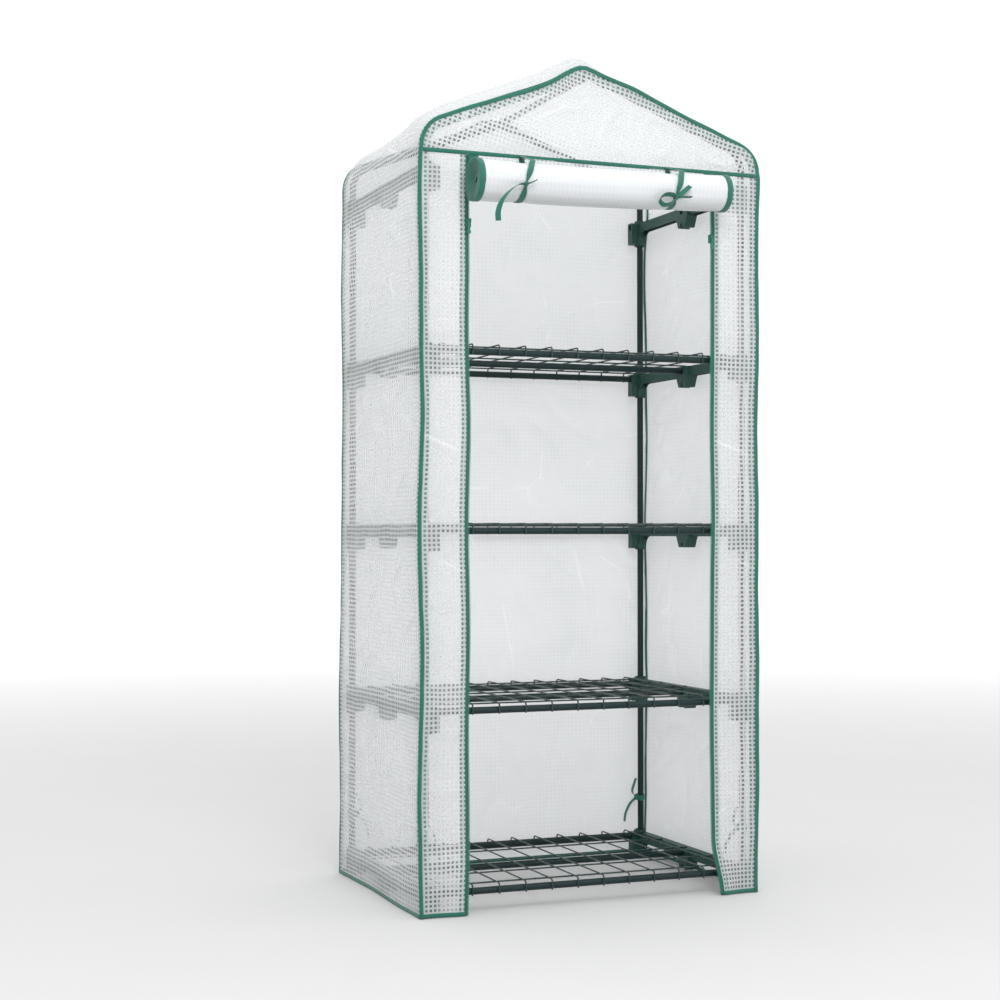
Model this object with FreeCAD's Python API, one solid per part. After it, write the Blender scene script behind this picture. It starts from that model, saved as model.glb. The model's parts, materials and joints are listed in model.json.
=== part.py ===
"""Four-tier mini greenhouse: plug-together steel frame, wire shelves and a zipped film cover.

Millimetres. +X is to the right, +Y to the back and +Z up. The front, with the door, faces -Y.
The pieces are drawn round the centre of the frame's footprint on the floor. main() then moves
them back by CENTRING, so that the origin is under the middle of the whole, rolled door included.
"""

import FreeCAD
import Part

import math
import os

V = FreeCAD.Vector

# ---- overall size ---------------------------------------------------------------------
WIDTH = 690.0
DEPTH = 490.0
HEIGHT = 1580.0

# ---- frame ----------------------------------------------------------------------------
TUBE_R = 6.5
TUBE_WALL = 0.8
SOCKET_R = 6.6  # bore of every plastic socket
POST_X = 328.0
POST_Y = 225.0
BOTTOM_LEVEL = 40.0  # height of the lowest cross tubes
TIER = 331.3  # from one level to the next
LEVELS = [BOTTOM_LEVEL + TIER * i for i in range(5)]  # the fifth is the eaves

# ---- side arm moulding, measured from its cross tubes' axis -----------------------------
SLEEVE_R = 11.5
SLEEVE_DROP = 40.0
SLEEVE_RISE = 15.0
WEB_TOP, WEB_BOTTOM = -8.0, -11.0  # the web that stops the upper and the lower post tube
ARM_WIDTH = 18.0
ARM_TOP = 9.0
ARM_BOTTOM = -11.0
ARM_WALL = 2.5
GUSSET_R = 22.0
CHEEK_HALF = 9.5  # the flat block on each corner socket that takes an outer cross tube
CHEEK_LENGTH = 13.0
CROSS_STOP = 319.0  # how far out an outer cross tube reaches
MIDDLE_STOP = 331.0  # the middle one goes right into the bracket
BRACKET_PROUD = 6.0  # how far the bracket stands out of the arm's inner face
BRACKET_DROP = 34.0
BRACKET_TOP_HALF, BRACKET_FOOT_HALF = 25.0, 16.0
BRACKET_TIP_R = 5.0

# ---- roof -----------------------------------------------------------------------------
SLOPE = math.radians(21.5)
BOW_RIDGE_Z = 1568.0
BOW_BEND_R = 45.0
RIDGE_BALL_R = 10.2
RIDGE_SLEEVE_R = 9.0
RIDGE_SLEEVE_LENGTH = 38.0
BOW_GAP = 11.0  # from the ridge axis to the end of a bow

# ---- wire shelf -----------------------------------------------------------------------
WIRE_R = 1.5
CROSS_WIRES = 12
CROSS_WIRE_PITCH = 53.0
LONG_WIRES = [-205.0, -110.0, 0.0, 110.0, 205.0]
LONG_WIRE_HALF = 323.0  # the long wires' ends rest on the side arms
WIRE_WELD = 0.3  # how far two crossing wires are pressed into each other
REST_GAP = 0.1  # between the long wires and the side arms
LIP_REACH = 8.35  # from an outer tube's axis to the wire that turns down in front of it
LIP_BEND = 6.0
LIP_TIP = -7.0

# ---- cover ----------------------------------------------------------------------------
FILM = 1.0
HEM_Z = 1.0
HEADER_Z = 1397.0
BINDING = 9.0
BINDING_THICK = 2.5
COVER_X = WIDTH / 2
FRONT_Y = -(DEPTH / 2 - BINDING_THICK)  # outer face of the front film
BACK_Y = DEPTH / 2 - BINDING_THICK
EAVE_R = 62.0
PEAK_R = 40.0
PEAK_Z = HEIGHT + PEAK_R * (1 / math.cos(SLOPE) - 1)  # where the roof's slopes would meet

# ---- door, zips and ties --------------------------------------------------------------
OPENING_HALF = 249.0
TAPE_WIDTH = 12.0
TAPE_THICK = 1.2
ROLL_R = 41.0
ROLL_CORE_R = 32.0
ROLL_X = (-262.0, 254.0)
ROLL_Y, ROLL_Z = -295.0, 1344.0
HANG_X = (-249.0, 250.0)
HANG_Y = -249.0
TIE_WIDTH = 12.0
TIE_THICK = 1.2
TIE_GAP = 0.5  # between the roll and the ribbon round it
DOOR_TIES = {"left": -160.0, "right": 145.0}
SLIDER_Z = 1268.0
FRAME_TIE_Z = 118.0
CENTRING = (ROLL_R + TIE_GAP + TIE_THICK - ROLL_Y - DEPTH / 2) / 2


def box(low, high):
    size = [b - a for a, b in zip(low, high)]
    return Part.makeBox(*size, V(*low))


def rod(radius, start, end):
    start, end = V(*start), V(*end)
    return Part.makeCylinder(radius, (end - start).Length, start, end - start)


def tube(start, end):
    return rod(TUBE_R, start, end).cut(rod(TUBE_R - TUBE_WALL, start, end))


def fuse(shapes):
    return shapes[0].multiFuse(shapes[1:]).removeSplitter()


def mirrored_x(shape):
    return shape.mirror(V(0, 0, 0), V(1, 0, 0))


def turned_half(shape):
    turned = shape.copy()
    turned.rotate(V(0, 0, 0), V(0, 0, 1), 180)
    return turned


def line(a, b):
    return Part.LineSegment(a, b).toShape()


def arc(centre, radius, start, end, plane):
    """An arc from one angle to another, in degrees, through the middle one."""
    points = []
    for angle in (start, (start + end) / 2, end):
        c = radius * math.cos(math.radians(angle))
        s = radius * math.sin(math.radians(angle))
        points.append(plane(centre[0] + c, centre[1] + s))
    return Part.Arc(*points).toShape()


def joined(edges):
    """One wire of arcs and lines, in order: a gap between two edges is closed by a line."""
    chain = []
    for edge in edges:
        if chain:
            last = chain[-1].valueAt(chain[-1].LastParameter)
            first = edge.valueAt(edge.FirstParameter)
            if (first - last).Length > 1e-6:
                chain.append(line(last, first))
        chain.append(edge)
    end = chain[-1].valueAt(chain[-1].LastParameter)
    start = chain[0].valueAt(chain[0].FirstParameter)
    if (end - start).Length > 1e-6:
        chain.append(line(end, start))
    return Part.Wire(chain)


# ---- side arm -------------------------------------------------------------------------
def beam_profile():
    """The beam seen from its side, with a rounded gusset down each corner socket."""

    def plane(y, z):
        return V(POST_X - ARM_WIDTH / 2, y, z)

    end_y = POST_Y - SLEEVE_R + 1
    gusset_y = end_y - GUSSET_R
    gusset_z = ARM_BOTTOM - GUSSET_R
    return joined(
        [
            line(plane(-POST_Y, ARM_TOP), plane(POST_Y, ARM_TOP)),
            line(plane(POST_Y, gusset_z), plane(end_y, gusset_z)),
            arc((gusset_y, gusset_z), GUSSET_R, 0, 90, plane),
            arc((-gusset_y, gusset_z), GUSSET_R, 90, 180, plane),
            line(plane(-POST_Y, gusset_z), plane(-POST_Y, gusset_z + 1)),
        ]
    )


def bracket_profile():
    """The middle bracket: sides that lean in to two round tips, with a scallop between them."""

    def plane(y, z):
        return V(POST_X - ARM_WIDTH / 2 - BRACKET_PROUD, y, z)

    tip_z = -BRACKET_DROP + BRACKET_TIP_R
    tip_y = BRACKET_FOOT_HALF - BRACKET_TIP_R
    scallop_r = tip_y - BRACKET_TIP_R
    return joined(
        [
            line(plane(-BRACKET_TOP_HALF, ARM_TOP), plane(BRACKET_TOP_HALF, ARM_TOP)),
            line(plane(BRACKET_TOP_HALF, ARM_BOTTOM), plane(BRACKET_FOOT_HALF, tip_z)),
            arc((tip_y, tip_z), BRACKET_TIP_R, 0, -180, plane),
            arc((0, tip_z), scallop_r, 0, 180, plane),
            arc((-tip_y, tip_z), BRACKET_TIP_R, 0, -180, plane),
            line(plane(-BRACKET_TOP_HALF, ARM_BOTTOM), plane(-BRACKET_TOP_HALF, 0)),
        ]
    )


def arm_pockets():
    """The beam is a channel, open underneath, on both sides of the middle bracket."""
    pockets = []
    half = ARM_WIDTH / 2 - ARM_WALL
    inner_y = BRACKET_TOP_HALF + ARM_WALL
    outer_y = POST_Y - SLEEVE_R - ARM_WALL
    for side in (-1, 1):
        low_y, high_y = sorted((side * inner_y, side * outer_y))
        pockets.append(
            box(
                (POST_X - half, low_y, -BRACKET_DROP * 2),
                (POST_X + half, high_y, ARM_TOP - ARM_WALL),
            )
        )
    return pockets


def side_arm():
    """The right-hand moulding, with the axis of its cross tubes at height 0."""
    beam = Part.Face(beam_profile()).extrude(V(ARM_WIDTH, 0, 0)).cut(arm_pockets())
    bracket = Part.Face(bracket_profile()).extrude(V(ARM_WIDTH + BRACKET_PROUD, 0, 0))
    solids, bores = [beam, bracket], []
    inner_x = POST_X - SLEEVE_R
    for y in (-POST_Y, POST_Y):
        solids.append(rod(SLEEVE_R, (POST_X, y, -SLEEVE_DROP), (POST_X, y, SLEEVE_RISE)))
        solids.append(
            box(
                (inner_x, y - SLEEVE_R, -SLEEVE_DROP + 3),
                (POST_X, y + SLEEVE_R, SLEEVE_RISE - 3),
            )
        )
        bores.append(rod(SOCKET_R, (POST_X, y, -SLEEVE_DROP - 1), (POST_X, y, WEB_BOTTOM)))
        bores.append(rod(SOCKET_R, (POST_X, y, WEB_TOP), (POST_X, y, SLEEVE_RISE + 1)))
        mouth_x = inner_x - CHEEK_LENGTH
        solids.append(
            box(
                (mouth_x, y - CHEEK_HALF, -SLEEVE_DROP + 3),
                (POST_X - SOCKET_R - ARM_WALL, y + CHEEK_HALF, ARM_TOP),
            )
        )
        bores.append(rod(SOCKET_R, (mouth_x - 1, y, 0), (CROSS_STOP, y, 0)))
    bores.append(rod(SOCKET_R, (inner_x - CHEEK_LENGTH, 0, 0), (MIDDLE_STOP, 0, 0)))
    return fuse(solids).cut(bores).removeSplitter()


# ---- tubes ----------------------------------------------------------------------------
def corner_post(x, y):
    """Four tubes, each plugged into the arm below it and the arm above it."""
    pieces = []
    for low, high in zip(LEVELS, LEVELS[1:]):
        pieces.append(tube((x, y, low + WEB_TOP + 0.5), (x, y, high + WEB_BOTTOM - 0.5)))
    return Part.makeCompound(pieces)


def cross_tube(y, z):
    reach = (MIDDLE_STOP if y == 0 else CROSS_STOP) - 0.5
    return tube((-reach, y, z), (reach, y, z))


def roof_bow():
    """The left front bow: up from the eaves arm, round a bend, then up the slope."""

    def plane(x, z):
        return V(x, -POST_Y, z)

    bottom_z = LEVELS[-1] + WEB_TOP + 0.5
    tangent = BOW_BEND_R * math.tan((math.pi / 2 - SLOPE) / 2)
    corner_z = BOW_RIDGE_Z - POST_X * math.tan(SLOPE)
    bend_z = corner_z - tangent
    end_x = -BOW_GAP * math.cos(SLOPE)
    end_z = BOW_RIDGE_Z - BOW_GAP * math.sin(SLOPE)
    bend = arc(
        (-POST_X + BOW_BEND_R, bend_z),
        BOW_BEND_R,
        180,
        90 + math.degrees(SLOPE),
        plane,
    )
    bend_end = bend.valueAt(bend.LastParameter)
    path = Part.Wire(
        [
            line(plane(-POST_X, bottom_z), plane(-POST_X, bend_z)),
            bend,
            line(bend_end, plane(end_x, end_z)),
        ]
    )
    rings = []
    for radius in (TUBE_R, TUBE_R - TUBE_WALL):
        circle = Part.makeCircle(radius, plane(-POST_X, bottom_z), V(0, 0, 1))
        rings.append(path.makePipeShell([Part.Wire([circle])], True, True))
    return rings[0].cut(rings[1])


def ridge_connector():
    """The front peak fitting: two sleeves for the bows and one for the ridge tube."""
    centre = V(0, -POST_Y, BOW_RIDGE_Z)
    left = V(-math.cos(SLOPE), 0, -math.sin(SLOPE))
    right = V(math.cos(SLOPE), 0, -math.sin(SLOPE))
    back = V(0, 1, 0)
    solids, bores = [Part.makeSphere(RIDGE_BALL_R, centre, back)], []
    for way in (left, right, back):
        end = centre + way * RIDGE_SLEEVE_LENGTH
        solids.append(rod(RIDGE_SLEEVE_R, centre, end))
        bores.append(rod(SOCKET_R, centre + way * (BOW_GAP - 0.5), end + way))
    return fuse(solids).cut(bores)


# ---- wire shelf -----------------------------------------------------------------------
def cross_wire(x, z):
    """A wire from front to back whose ends turn down outside the outer cross tubes."""
    lip_y = POST_Y + LIP_REACH
    bend_y = lip_y - LIP_BEND
    bend_z = ARM_TOP + REST_GAP + 3 * WIRE_R - WIRE_WELD - LIP_BEND

    def plane(y, height):
        return V(x, y, z + height)

    path = joined(
        [
            line(plane(-lip_y, LIP_TIP), plane(-lip_y, bend_z)),
            arc((-bend_y, bend_z), LIP_BEND, 180, 90, plane),
            arc((bend_y, bend_z), LIP_BEND, 90, 0, plane),
            line(plane(lip_y, bend_z), plane(lip_y, LIP_TIP)),
        ]
    )
    open_path = Part.Wire(path.OrderedEdges[:-1])
    circle = Part.makeCircle(WIRE_R, plane(-lip_y, LIP_TIP), V(0, 0, 1))
    return open_path.makePipeShell([Part.Wire([circle])], True, True)


def wire_shelf(z):
    first_x = -CROSS_WIRE_PITCH * (CROSS_WIRES - 1) / 2
    wires = [cross_wire(first_x + CROSS_WIRE_PITCH * i, z) for i in range(CROSS_WIRES)]
    height = z + ARM_TOP + REST_GAP + WIRE_R
    for y in LONG_WIRES:
        wires.append(rod(WIRE_R, (-LONG_WIRE_HALF, y, height), (LONG_WIRE_HALF, y, height)))
    return wires[0].multiFuse(wires[1:])


# ---- cover ----------------------------------------------------------------------------
def cover_outline(inset, y, bottom_z):
    """The cover seen from the front: walls, rounded eaves and a rounded peak."""

    def plane(x, z):
        return V(x, y, z)

    slope = math.degrees(SLOPE)
    wall_x = COVER_X - inset
    eave_r, peak_r = EAVE_R - inset, PEAK_R - inset
    peak_z = PEAK_Z - inset / math.cos(SLOPE)
    eave_x = wall_x - eave_r
    eave_z = (
        peak_z
        - wall_x * math.tan(SLOPE)
        - eave_r * math.tan((math.pi / 2 - SLOPE) / 2)
    )
    peak_centre = (0, peak_z - peak_r / math.cos(SLOPE))
    return joined(
        [
            line(plane(-wall_x, bottom_z), plane(-wall_x, bottom_z + 1)),
            arc((-eave_x, eave_z), eave_r, 180, 90 + slope, plane),
            arc(peak_centre, peak_r, 90 + slope, 90 - slope, plane),
            arc((eave_x, eave_z), eave_r, 90 - slope, 0, plane),
            line(plane(wall_x, bottom_z + 1), plane(wall_x, bottom_z)),
        ]
    )


def filled_outline(inset, y, bottom_z, thick):
    return Part.Face(cover_outline(inset, y, bottom_z)).extrude(V(0, thick, 0))


def cover_shell():
    """Walls and roof as one shell, open at the front, the back and underneath."""
    length = BACK_Y - FRONT_Y
    outer = filled_outline(0, FRONT_Y, HEM_Z, length)
    return outer.cut(filled_outline(FILM, FRONT_Y, HEM_Z - 10, length))


def cover_panels():
    shell = cover_shell()
    half, low, high = COVER_X + 1, HEM_Z - 1, HEIGHT + 1
    wall_top = HEADER_Z
    seam = 0.2  # the panels stop just short of each other
    inside = FRONT_Y + FILM
    strip_x = OPENING_HALF + TAPE_WIDTH
    sides = {
        "cover_left": box((-half, FRONT_Y, low), (0, BACK_Y, wall_top)),
        "cover_right": box((0, FRONT_Y, low), (half, BACK_Y, wall_top)),
        "cover_roof": box((-half, FRONT_Y, wall_top + seam), (half, BACK_Y, high)),
    }
    panels = {name: shell.common(part) for name, part in sides.items()}
    front = filled_outline(FILM + seam, FRONT_Y, HEM_Z, FILM)
    gable = box((-half, FRONT_Y, HEADER_Z + seam), (half, inside, high))
    left = box((-half, FRONT_Y, low), (-strip_x - seam, inside, HEADER_Z))
    right = box((strip_x + seam, FRONT_Y, low), (half, inside, HEADER_Z))
    panels["cover_front_gable"] = front.common(gable)
    panels["cover_front_left"] = front.common(left)
    panels["cover_front_right"] = front.common(right)
    panels["cover_back"] = filled_outline(FILM + seam, BACK_Y - FILM, HEM_Z, FILM)
    return panels


def edge_binding(y):
    """The tape round the front or back edge of the cover, from hem to hem."""
    frame = filled_outline(0, y, HEM_Z, BINDING_THICK)
    return frame.cut(filled_outline(BINDING, y, HEM_Z - 10, BINDING_THICK))


def hem_binding():
    """The tape along the bottom: one run for each side, one for the back, two for the front."""
    gap = 0.3
    low, high = HEM_Z, HEM_Z + BINDING
    inner_x = COVER_X - FILM - gap
    inner_y = BACK_Y - FILM - gap
    strip_x = OPENING_HALF + TAPE_WIDTH + gap
    thick = 1.5
    solids = [
        box((-inner_x + thick + gap, inner_y - thick, low), (inner_x - thick - gap, inner_y, high))
    ]
    for side in (-1, 1):
        a, b = sorted((side * inner_x, side * (inner_x - thick)))
        solids.append(box((a, -inner_y, low), (b, inner_y, high)))
        a, b = sorted((side * strip_x, side * (inner_x - thick - gap)))
        solids.append(box((a, -inner_y, low), (b, -inner_y + thick, high)))
    return Part.makeCompound(solids)


def header_binding():
    """The tape over the seam above the door."""
    half = COVER_X - BINDING - 0.3
    y = -DEPTH / 2
    middle = HEADER_Z
    return box(
        (-half, y, middle - BINDING / 2), (half, y + BINDING_THICK - 0.2, middle + BINDING / 2)
    )


# ---- door, zips and ties --------------------------------------------------------------
def zip_tape(side):
    y = FRONT_Y - TAPE_THICK
    a, b = sorted((side * OPENING_HALF, side * (OPENING_HALF + TAPE_WIDTH)))
    return box((a, y, HEM_Z), (b, y + TAPE_THICK, HEADER_Z - BINDING / 2 - 0.3))


def zip_slider(side):
    """Two plates joined round the free edge of the tape, with a pin for the pull."""
    tape_y = FRONT_Y - TAPE_THICK / 2
    gap, plate = 1.4, 1.6
    edge = OPENING_HALF - 0.6
    far = OPENING_HALF + 8.0
    half_z = 8.0

    def across(x0, x1, y0, y1, z0, z1):
        a, b = sorted((side * x0, side * x1))
        return box((a, y0, z0), (b, y1, z1))

    low, high = SLIDER_Z - half_z, SLIDER_Z + half_z
    front_y = tape_y - gap - plate
    solids = [
        across(edge - 1.6, far, front_y, tape_y - gap, low, high),
        across(edge - 1.6, far, tape_y + gap, tape_y + gap + plate, low, high),
        across(edge - 1.6, edge, front_y, tape_y + gap + plate, low, high),
    ]
    middle = (edge - 1.6 + far) / 2
    for offset in (-3.6, 3.6):
        x = middle + offset
        solids.append(across(x - 0.7, x + 0.7, front_y - 3.4, front_y, SLIDER_Z + 1, high))
    pin_x, pin_y, pin_z = side * middle, front_y - 2.1, SLIDER_Z + 5
    solids.append(rod(0.9, (pin_x - 3.6, pin_y, pin_z), (pin_x + 3.6, pin_y, pin_z)))
    return fuse(solids), (pin_x, pin_y, pin_z)


def zip_pull(pin):
    """A flat tab that hangs from the slider's pin."""
    x, y, z = pin
    half, thick = 2.5, 0.75
    eye = rod(1.5, (x - half, y, z), (x + half, y, z))
    tab = box((x - half, y - thick, z - 24), (x + half, y + thick, z))
    grip = rod(4.0, (x, y - thick, z - 22), (x, y + thick, z - 22))
    hole = rod(0.95, (x - half - 1, y, z), (x + half + 1, y, z))
    return fuse([eye, tab, grip]).cut(hole)


def door_roll():
    """The rolled door, as a thick tube."""
    start, end = (ROLL_X[0], ROLL_Y, ROLL_Z), (ROLL_X[1], ROLL_Y, ROLL_Z)
    return rod(ROLL_R, start, end).cut(rod(ROLL_CORE_R, start, end))


def door_hang():
    """The top of the door, from the header seam to the back of the roll."""
    return box((HANG_X[0], HANG_Y, ROLL_Z), (HANG_X[1], HANG_Y + FILM, HEADER_Z + 2))


def door_tie(x):
    """A ribbon that goes down from the header, round the roll and back up behind it."""

    def plane(y, z):
        return V(x - TIE_WIDTH / 2, y, z)

    radius = ROLL_R + TIE_GAP
    anchor_y, anchor_z = HANG_Y - 2.5, HEADER_Z - 2
    to_centre = math.hypot(anchor_y - ROLL_Y, anchor_z - ROLL_Z)
    towards = math.degrees(math.atan2(anchor_z - ROLL_Z, anchor_y - ROLL_Y))
    spread = math.degrees(math.acos(radius / to_centre))
    loop = arc((ROLL_Y, ROLL_Z), radius, towards + spread, towards - spread + 360, plane)
    front = loop.valueAt(loop.FirstParameter)
    back = loop.valueAt(loop.LastParameter)
    anchor = plane(anchor_y, anchor_z)
    inner = Part.Wire([line(anchor, front), loop, line(back, anchor)])
    outer = inner.makeOffset2D(TIE_THICK)
    ring = Part.Face(outer).cut(Part.Face(inner))
    return ring.extrude(V(TIE_WIDTH, 0, 0))


def frame_tie(x, y):
    """A ribbon knotted round a corner post just above the lowest shelf."""
    height, thick, tail = 12.0, 1.2, 52.0
    inner_r = TUBE_R + 0.4
    low, high = (x, y, FRAME_TIE_Z), (x, y, FRAME_TIE_Z + height)
    ring = rod(inner_r + thick, low, high).cut(rod(inner_r, low, high))
    inward = math.copysign(1, -x)
    a, b = sorted((x + inward * (inner_r + 0.4), x + inward * (inner_r + 0.4 + thick)))
    strip = box((a, y - height / 2, FRAME_TIE_Z - tail), (b, y + height / 2, FRAME_TIE_Z + 4))
    return fuse([ring, strip])


# ---- the whole greenhouse -------------------------------------------------------------
def frame_parts():
    parts = {}
    corners = {
        "front_left": (-POST_X, -POST_Y),
        "front_right": (POST_X, -POST_Y),
        "back_left": (-POST_X, POST_Y),
        "back_right": (POST_X, POST_Y),
    }
    arm = side_arm()
    for number, z in enumerate(LEVELS, 1):
        parts[f"side_arm_right_{number}"] = arm.translated(V(0, 0, z))
        parts[f"side_arm_left_{number}"] = turned_half(arm).translated(V(0, 0, z))
    for number, z in enumerate(LEVELS[:-1], 1):
        parts[f"wire_shelf_{number}"] = wire_shelf(z)
        for place, y in (("front", -POST_Y), ("middle", 0), ("back", POST_Y)):
            parts[f"cross_tube_{place}_{number}"] = cross_tube(y, z)
    for corner, (x, y) in corners.items():
        parts[f"corner_post_{corner}"] = corner_post(x, y)
    bow = roof_bow()
    parts["roof_bow_front_left"] = bow
    parts["roof_bow_front_right"] = mirrored_x(bow)
    parts["roof_bow_back_right"] = turned_half(bow)
    parts["roof_bow_back_left"] = mirrored_x(turned_half(bow))
    peak = ridge_connector()
    parts["ridge_connector_front"] = peak
    parts["ridge_connector_back"] = turned_half(peak)
    reach = POST_Y - BOW_GAP
    parts["ridge_tube"] = tube((0, -reach, BOW_RIDGE_Z), (0, reach, BOW_RIDGE_Z))
    parts["frame_ties"] = Part.makeCompound([frame_tie(x, y) for x, y in corners.values()])
    return parts


def cover_parts():
    parts = cover_panels()
    parts["binding_front"] = edge_binding(-DEPTH / 2)
    parts["binding_back"] = edge_binding(BACK_Y)
    parts["binding_header"] = header_binding()
    parts["binding_hem"] = hem_binding()
    parts["door_roll"] = door_roll()
    parts["door_hang"] = door_hang()
    for name, x in DOOR_TIES.items():
        parts[f"door_tie_{name}"] = door_tie(x)
    for name, side in (("left", -1), ("right", 1)):
        parts[f"zip_tape_{name}"] = zip_tape(side)
        slider, pin = zip_slider(side)
        parts[f"zip_slider_{name}"] = slider
        parts[f"zip_pull_{name}"] = zip_pull(pin)
    return parts


def main():
    os.makedirs("parts", exist_ok=True)
    parts = {**frame_parts(), **cover_parts()}
    for name, shape in sorted(parts.items()):
        placed = shape.translated(V(0, CENTRING, 0))
        placed.exportStep(os.path.join("parts", f"{name}.step"))
        if not shape.isValid():
            print("not valid:", name)
    print(len(parts), "nodes")


main()
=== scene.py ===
import bmesh
import bpy
import json
import math
from mathutils import Matrix, Vector, noise


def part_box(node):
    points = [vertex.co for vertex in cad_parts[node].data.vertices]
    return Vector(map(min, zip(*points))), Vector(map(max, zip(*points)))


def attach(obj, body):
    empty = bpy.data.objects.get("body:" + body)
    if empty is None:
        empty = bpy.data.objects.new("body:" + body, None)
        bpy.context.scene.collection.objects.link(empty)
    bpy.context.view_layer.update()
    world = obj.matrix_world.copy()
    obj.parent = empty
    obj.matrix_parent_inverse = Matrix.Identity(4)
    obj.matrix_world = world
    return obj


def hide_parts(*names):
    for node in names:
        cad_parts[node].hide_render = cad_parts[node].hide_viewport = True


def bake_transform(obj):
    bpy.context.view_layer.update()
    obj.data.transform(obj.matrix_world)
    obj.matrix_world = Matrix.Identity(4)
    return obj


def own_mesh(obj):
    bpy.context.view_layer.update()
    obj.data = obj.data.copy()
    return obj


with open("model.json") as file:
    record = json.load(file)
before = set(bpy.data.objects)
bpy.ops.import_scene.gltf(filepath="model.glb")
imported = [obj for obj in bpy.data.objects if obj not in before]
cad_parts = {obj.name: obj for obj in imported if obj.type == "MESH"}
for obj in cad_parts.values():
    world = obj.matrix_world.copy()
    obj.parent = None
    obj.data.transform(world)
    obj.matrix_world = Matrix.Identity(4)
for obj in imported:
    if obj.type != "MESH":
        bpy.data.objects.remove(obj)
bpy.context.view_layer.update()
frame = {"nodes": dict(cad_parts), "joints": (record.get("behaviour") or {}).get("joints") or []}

# ---- sizes, in metres -----------------------------------------------------------------
GRID = 0.0085  # from one yarn of the cover film to the next
YARN = 0.0039
TAPE_THICK = 0.0012
BINDING = 0.0078
LIP = 0.014  # the raw seam inside the binding
RIBBON_WIDTH = 0.0115
HEM_THICK = 0.003
LOWEST_TIER, TIER, TIERS = 0.040, 0.3313, 5  # heights of the rack's cross tubes: first and step
SLOPE = math.radians(21.5)
EAVE_R, PEAK_R = 0.062, 0.040
WALL_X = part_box("cover_right")[1].x
TOP_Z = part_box("binding_front")[1].z
PEAK_Z = TOP_Z + PEAK_R * (1 / math.cos(SLOPE) - 1)
FRONT_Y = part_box("cover_front_left")[0].y
BACK_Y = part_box("cover_back")[1].y
MIDDLE_Y = (FRONT_Y + BACK_Y) / 2
HEM_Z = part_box("cover_left")[0].z
HEADER_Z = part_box("cover_front_gable")[0].z
OPENING_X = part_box("zip_tape_right")[0].x
STRIP_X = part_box("zip_tape_right")[1].x
ROLL_LOW, ROLL_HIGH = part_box("door_roll")
ROLL_R = (ROLL_HIGH.z - ROLL_LOW.z) / 2
ROLL_Y = (ROLL_HIGH.y + ROLL_LOW.y) / 2
ROLL_Z = (ROLL_HIGH.z + ROLL_LOW.z) / 2
JOINTS = {joint["name"]: joint for joint in frame["joints"]}
DOOR_TRAVEL = JOINTS["door_unroll"]["range_m"][1]
ROOT = "greenhouse"

POWDER_GREEN = (0.004, 0.017, 0.018)
WIRE_GREEN = (0.012, 0.032, 0.030)
MOULDING_GREEN = (0.014, 0.058, 0.048)
RIBBON_GREEN = (0.016, 0.165, 0.118)
ZIP_GREEN = (0.016, 0.150, 0.105)
FILM_WHITE = (0.87, 0.885, 0.895)
YARN_WHITE = (0.765, 0.785, 0.80)
ROLLED_WHITE = (0.60, 0.615, 0.63)


# ---- material kit ---------------------------------------------------------------------
class Finish:
    """A material under construction, with short ways to add and join its nodes."""

    def __init__(self, name, roughness=0.5, specular=0.5):
        self.material = bpy.data.materials.new(name)
        self.material.use_nodes = True
        self.nodes = self.material.node_tree.nodes
        self.links = self.material.node_tree.links
        self.shader = self.nodes["Principled BSDF"]
        self.shader.inputs["Roughness"].default_value = roughness
        self.shader.inputs["Specular IOR Level"].default_value = specular
        self.output = self.nodes["Material Output"]

    def add(self, kind, **settings):
        node = self.nodes.new(kind)
        for name, value in settings.items():
            setattr(node, name, value)
        return node

    def join(self, source, target):
        self.links.new(source, target)

    def feed(self, socket, value):
        if isinstance(value, bpy.types.NodeSocket):
            self.join(value, socket)
        else:
            socket.default_value = value

    def math(self, operation, a, b=0.0, clamp=False):
        node = self.add("ShaderNodeMath", operation=operation, use_clamp=clamp)
        self.feed(node.inputs[0], a)
        self.feed(node.inputs[1], b)
        return node.outputs[0]

    def ramp(self, value, low, high, start=0.0, end=1.0):
        node = self.add("ShaderNodeMapRange", interpolation_type="SMOOTHSTEP")
        limits = {"From Min": low, "From Max": high, "To Min": start, "To Max": end}
        for name, number in limits.items():
            node.inputs[name].default_value = number
        self.feed(node.inputs["Value"], value)
        return node.outputs["Result"]

    def place(self, space="Object", size=(1, 1, 1)):
        """The point on the piece, or its place on the flat cloth, stretched by size."""
        coordinates = self.add("ShaderNodeTexCoord")
        mapping = self.add("ShaderNodeMapping")
        mapping.inputs["Scale"].default_value = size
        self.join(coordinates.outputs[space], mapping.inputs["Vector"])
        return mapping.outputs["Vector"]

    def cloud(self, place, scale, detail=2.0, roughness=0.5):
        node = self.add("ShaderNodeTexNoise")
        node.inputs["Scale"].default_value = scale
        node.inputs["Detail"].default_value = detail
        node.inputs["Roughness"].default_value = roughness
        self.join(place, node.inputs["Vector"])
        return node.outputs["Fac"]

    def mix(self, factor, first, second):
        node = self.add("ShaderNodeMix", data_type="RGBA")
        self.feed(node.inputs["Factor"], factor)
        for socket, value in ((node.inputs[6], first), (node.inputs[7], second)):
            if isinstance(value, bpy.types.NodeSocket):
                self.join(value, socket)
            else:
                socket.default_value = (*value, 1)
        return node.outputs[2]

    def bump(self, height, distance, strength=1.0, normal=None):
        node = self.add("ShaderNodeBump")
        node.inputs["Distance"].default_value = distance
        node.inputs["Strength"].default_value = strength
        self.join(height, node.inputs["Height"])
        if normal is not None:
            self.join(normal, node.inputs["Normal"])
        return node.outputs["Normal"]

    def shade(self, color=None, roughness=None, normal=None):
        for name, socket in (("Base Color", color), ("Roughness", roughness), ("Normal", normal)):
            if socket is not None:
                self.join(socket, self.shader.inputs[name])


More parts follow.
